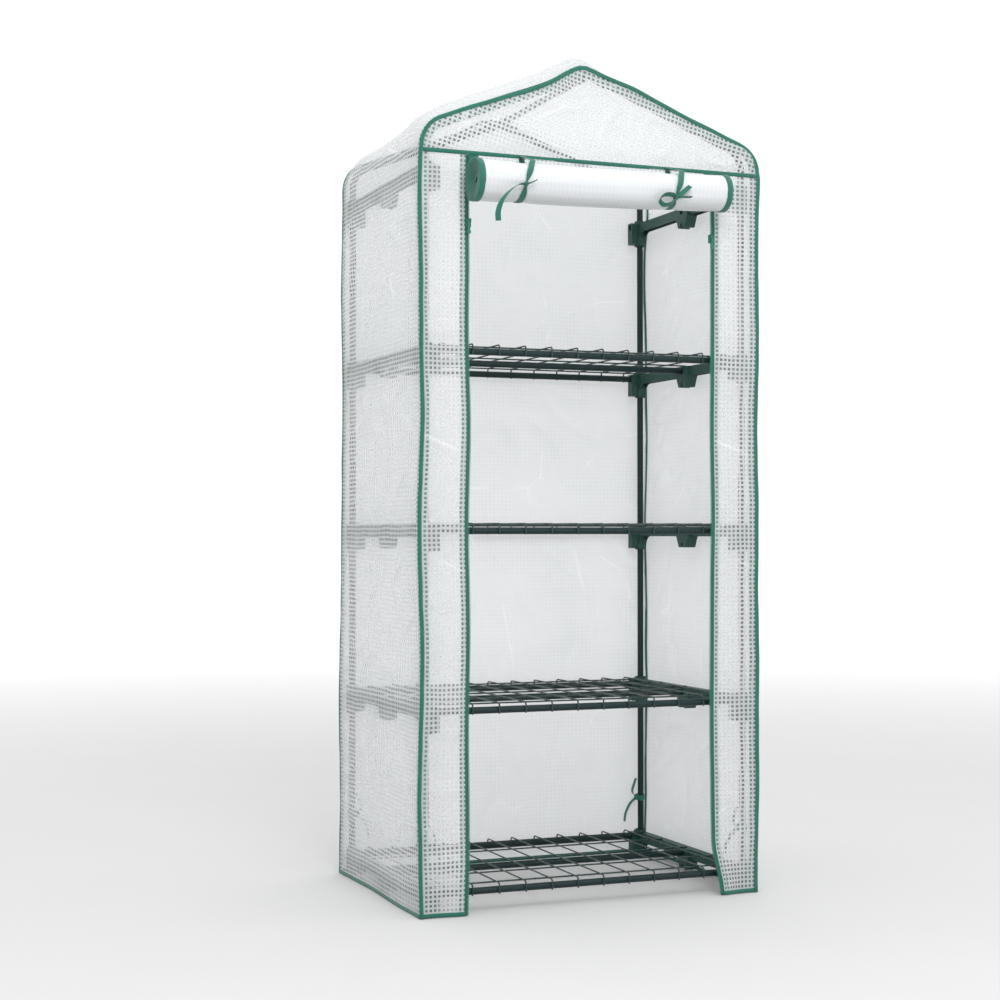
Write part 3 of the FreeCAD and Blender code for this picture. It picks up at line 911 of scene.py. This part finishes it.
# ---- ties -----------------------------------------------------------------------------
def round_roll(x, degrees, lift=0.0016):
    """A point just off the roll: 90 is its top, 180 its front and 270 its underside."""
    z, radius = roll_section(x)
    angle = math.radians(degrees)
    reach = radius + lift
    y = ROLL_Y + math.cos(angle) * reach * ROLL_FLAT
    return Vector((x, y, z + math.sin(angle) * reach))


def ribbon(name, points, side, width=RIBBON_WIDTH, steps=8, pinch=None):
    """A ribbon through points. side is one direction, or one at each end, across the ribbon."""
    path = smooth_path(points, steps)
    first, last = (side, side) if not isinstance(side, tuple) else side
    sides = [first.lerp(last, i / (len(path) - 1)) for i in range(len(path))]
    return tape_piece(
        name, path, sides, width, TAPE_THICK, RIBBON, "ribbon", columns=12, pinch=pinch
    )


def knot(name, centre, size):
    """The small hard lump where a ribbon is tied."""
    bm = bmesh.new()
    bmesh.ops.create_icosphere(bm, subdivisions=3, radius=1)
    layer = bm.loops.layers.uv.new("cloth")
    for vert in bm.verts:
        fold = 1 + 0.16 * math.sin(vert.co.z * 7 + vert.co.x * 3)
        spot = Vector(a * b for a, b in zip(vert.co, size))
        vert.co = Vector(centre) + spot * fold
    for face in bm.faces:
        for loop in face.loops:
            loop[layer].uv = (loop.vert.co.x, loop.vert.co.z)
    return add_piece(name, bm, RIBBON, "ribbon")


def door_tie(name, top_x, tails):
    """A ribbon from the header seam, down over the roll's front to its knot, and round below."""

    def narrows(share):
        return 1 - 0.7 * ease((share - 0.75) / 0.25)

    def widens(share):
        return 0.3 + 0.7 * ease(share / 0.22)

    knot_x = KNOT_X[name]
    top = Vector((top_x, FRONT_Y - 0.004, HEADER_Z + 0.001))
    across = Vector((1, 0, 0))
    front = [top]
    tied_at = KNOT_ANGLE[name]
    for share in (0.15, 0.38, 0.67, 0.98):
        degrees = 92 + (tied_at - 92) * share
        front.append(round_roll(top_x + (knot_x - top_x) * share, degrees))
    below = []
    for share in (0, 0.11, 0.25, 0.42, 0.62, 0.82, 1):
        below.append(round_roll(knot_x, tied_at + (358 - tied_at) * share))
    below.append(Vector((top_x, ROLL_HIGH.y + 0.002, ROLL_Z + 0.02)))
    below.append(Vector((top_x, FRONT_Y - 0.005, HEADER_Z - 0.004)))
    knot_at = round_roll(knot_x, tied_at, 0.0035)
    pieces = [
        ribbon(f"door_tie_{name}_front", front, across, pinch=narrows),
        ribbon(f"door_tie_{name}_below", below, across, pinch=widens),
        knot(f"door_tie_{name}_knot", knot_at, (0.0045, 0.0035, 0.005)),
    ]
    for number, (points, side, width) in enumerate(tails, 1):
        whole = [knot_at] + [knot_at + Vector(p) for p in points]
        pieces.append(ribbon(f"door_tie_{name}_tail_{number}", whole, side, width))
    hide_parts(f"door_tie_{name}")
    for piece in pieces:
        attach(piece, ROOT)


def door_ties():
    """Both ties, each with its free ends as steps away from its knot."""
    edge_on, face_on = Vector((0.1, -1, 0.25)), Vector((1, -0.1, 0.1))
    long_tail = [(-0.016, -0.004, -0.003), (-0.035, -0.006, -0.016), (-0.050, -0.007, -0.034)]
    long_tail += [(-0.057, -0.006, -0.054), (-0.056, -0.004, -0.071)]
    short_tail = [(0.008, -0.004, 0.002), (0.018, -0.006, 0.007)]
    door_tie(
        "left",
        KNOT_X["left"] + 0.026,
        [(long_tail, (edge_on, face_on), 0.0105), (short_tail, edge_on, 0.009)],
    )
    loop = [(-0.010, -0.008, 0.003), (-0.028, -0.010, 0.002), (-0.039, -0.010, -0.008)]
    loop += [(-0.030, -0.009, -0.017), (-0.012, -0.007, -0.012), (-0.001, -0.004, -0.002)]
    up_tail = [(0.008, -0.005, 0.007), (0.026, -0.008, 0.022)]
    side_tail = [(0.010, -0.004, 0.001), (0.030, -0.006, 0.002)]
    door_tie(
        "right",
        KNOT_X["right"] + 0.023,
        [
            (loop, Vector((0.1, -0.75, 0.65)), 0.0105),
            (up_tail, Vector((0.6, -0.5, -0.6)), 0.009),
            (side_tail, edge_on, 0.009),
        ],
    )


def frame_ties():
    """Ribbons knotted round the corner posts just above the lowest shelf."""
    post_r, z = 0.0065, 0.124
    steps = 24
    places = {
        "front_left": (-1, "corner_post_front_left"),
        "front_right": (1, "corner_post_front_right"),
        "back_left": (-1, "corner_post_back_left"),
        "back_right": (1, "corner_post_back_right"),
    }
    for name, (side, post) in places.items():
        low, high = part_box(post)
        centre = (low + high) / 2
        turns = []
        for i in range(steps + 1):
            angle = 2 * math.pi * i / steps
            turns.append(
                Vector((math.cos(angle), math.sin(angle), 0)) * (post_r + 0.0016)
                + Vector((centre.x, centre.y, z + 0.002 * math.sin(angle)))
            )
        upright = [Vector((0, 0, 1))] * len(turns)
        loop_name = f"frame_tie_{name}_loop"
        ring = tape_piece(loop_name, turns, upright, 0.011, TAPE_THICK, RIBBON, "ribbon")
        start = Vector((centre.x - side * (post_r + 0.004), centre.y, z))
        tie_knot = knot(f"frame_tie_{name}_knot", start, (0.005, 0.007, 0.007))
        tails = [
            [(-0.010, 0, 0.012), (-0.004, 0.002, 0.030), (0.001, 0.004, 0.040)],
            [(-0.014, 0.003, -0.014), (-0.024, 0.004, -0.034), (-0.026, 0.006, -0.052)],
        ]
        pieces = [ring, tie_knot]
        for number, points in enumerate(tails, 1):
            whole = [start] + [start + Vector((p[0] * side, p[1], p[2])) for p in points]
            pieces.append(
                ribbon(f"frame_tie_{name}_tail_{number}", whole, Vector((0, 1, 0.2)), 0.010)
            )
        for piece in pieces:
            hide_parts("frame_ties")
            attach(piece, ROOT)


# ---- the rack's own finishes ----------------------------------------------------------
def finish_rack():
    """Gives each piece of the rack that shows as it was modelled its finish."""
    finishes = {
        "side_arm": MOULDING,
        "ridge_connector": MOULDING,
        "corner_post": POWDER_COAT,
        "cross_tube": POWDER_COAT,
        "roof_bow": POWDER_COAT,
        "ridge_tube": POWDER_COAT,
        "wire_shelf": WIRE_COAT,
        "zip_": ZIP_METAL,
    }
    for name, node in frame["nodes"].items():
        for start, material in finishes.items():
            if name.startswith(start) and not node.hide_render:
                node.data.materials.clear()
                node.data.materials.append(material)


# ---- studio ---------------------------------------------------------------------------
def floor():
    """A pale floor that grows lighter away from the greenhouse."""
    bm = bmesh.new()
    bmesh.ops.create_grid(bm, x_segments=1, y_segments=1, size=40)
    paint = Finish("pale_floor", roughness=0.9, specular=0.1)
    place = paint.place()
    away = paint.add("ShaderNodeVectorMath", operation="LENGTH")
    paint.join(place, away.inputs[0])
    shade = paint.mix(paint.cloud(place, 3), (0.59, 0.59, 0.59), (0.61, 0.61, 0.61))
    far = paint.ramp(away.outputs["Value"], 1.5, 9)
    paint.shade(color=paint.mix(far, shade, (0.93, 0.93, 0.93)))
    mesh = bpy.data.meshes.new("studio_floor")
    bm.to_mesh(mesh)
    bm.free()
    mesh.materials.append(paint.material)
    piece = bpy.data.objects.new("studio_floor", mesh)
    bpy.context.scene.collection.objects.link(piece)


def area_light(name, place, aim, size, power):
    light = bpy.data.lights.new(name, "AREA")
    light.size = size
    light.energy = power
    lamp = bpy.data.objects.new(name, light)
    lamp.location = place
    lamp.rotation_euler = (Vector(aim) - Vector(place)).to_track_quat("-Z", "Y").to_euler()
    bpy.context.scene.collection.objects.link(lamp)


def studio():
    """Soft white air, a little brighter from above, and one large light from the front."""
    world = bpy.data.worlds.new("studio_air")
    world.use_nodes = True
    nodes, links = world.node_tree.nodes, world.node_tree.links
    ways = nodes.new("ShaderNodeTexCoord")
    split = nodes.new("ShaderNodeSeparateXYZ")
    height = nodes.new("ShaderNodeMapRange")
    nodes["Background"].inputs["Color"].default_value = (1, 1, 1, 1)
    height.inputs["To Min"].default_value = 1.00
    height.inputs["To Max"].default_value = 1.34
    links.new(ways.outputs["Generated"], split.inputs[0])
    links.new(split.outputs["Z"], height.inputs["Value"])
    links.new(height.outputs["Result"], nodes["Background"].inputs["Strength"])
    scene = bpy.context.scene
    scene.world = world
    scene.view_settings.view_transform = "Standard"
    aim = (0, 0, 0.8)
    area_light("key_light", (-0.5, -2.9, 3.0), aim, 1.4, 56)


def camera():
    """Stands in front and to the left, at half the greenhouse's height."""
    lens = bpy.data.cameras.new("camera")
    lens.lens = 66.3
    lens.sensor_width = 36
    lens.clip_end = 200
    eye = bpy.data.objects.new("camera", lens)
    yaw, tilt = math.radians(21.72), math.radians(1.04)
    ahead = Vector(
        (math.sin(yaw) * math.cos(tilt), math.cos(yaw) * math.cos(tilt), math.sin(tilt))
    )
    eye.location = (-1.446, MIDDLE_Y - 3.400, 0.6975)
    eye.rotation_euler = ahead.to_track_quat("-Z", "Y").to_euler()
    bpy.context.scene.collection.objects.link(eye)
    bpy.context.scene.camera = eye


def main():
    finish_rack()
    still = [cover_wrap(), back_panel(), front_gable(), front_strip(-1), front_strip(1)]
    still.append(edge_binding("front_frame_binding", FRONT_Y - 0.0012, True, "binding_front"))
    still.append(edge_binding("back_frame_binding", BACK_Y + 0.0010, False, "binding_back"))
    for piece in still:
        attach(piece, ROOT)
    seam_lips()
    hems()
    header_seam()
    for side in (-1, 1):
        zip_side(side)
    door_roll()
    door_sheet()
    door_ties()
    frame_ties()
    floor()
    studio()
    camera()


main()
